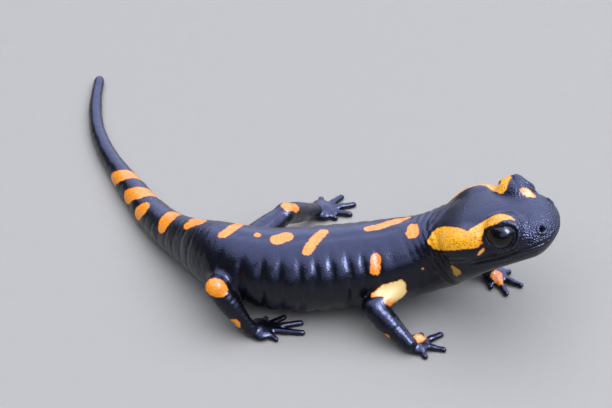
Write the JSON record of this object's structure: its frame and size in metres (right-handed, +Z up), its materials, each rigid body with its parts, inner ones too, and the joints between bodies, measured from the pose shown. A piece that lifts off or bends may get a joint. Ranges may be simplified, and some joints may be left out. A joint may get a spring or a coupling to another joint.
{
  "type": "fire salamander figure, standing",
  "caption": "Life-size young fire salamander standing with its head raised and its tail curved back on the floor, glossy black skin with orange spots.",
  "frame": {"origin": "centre of the bounding box in plan, on the floor plane under the soles and the resting tail", "axes": "+X along the trunk towards the head, +Y to the animal's left, +Z up"},
  "size_m": [0.0695, 0.0623, 0.0212],
  "materials": {
    "skin": "wet glossy black skin with orange patches",
    "eye": "very dark brown, wet and polished"
  },
  "bodies": {
    "root": {"head": "skin", "lower_jaw": "skin", "neck": "skin", "trunk_front": "skin", "trunk_middle": "skin", "trunk_rear": "skin", "tail_base": "skin", "tail_front": "skin", "tail_middle": "skin", "tail_tip": "skin", "upper_arm_right": "skin", "forearm_right": "skin", "hand_right": "skin", "upper_arm_left": "skin", "forearm_left": "skin", "hand_left": "skin", "thigh_right": "skin", "shank_right": "skin", "foot_right": "skin", "thigh_left": "skin", "shank_left": "skin", "foot_left": "skin", "eye_left": "eye", "eye_right": "eye"}
  },
  "joints": []
}
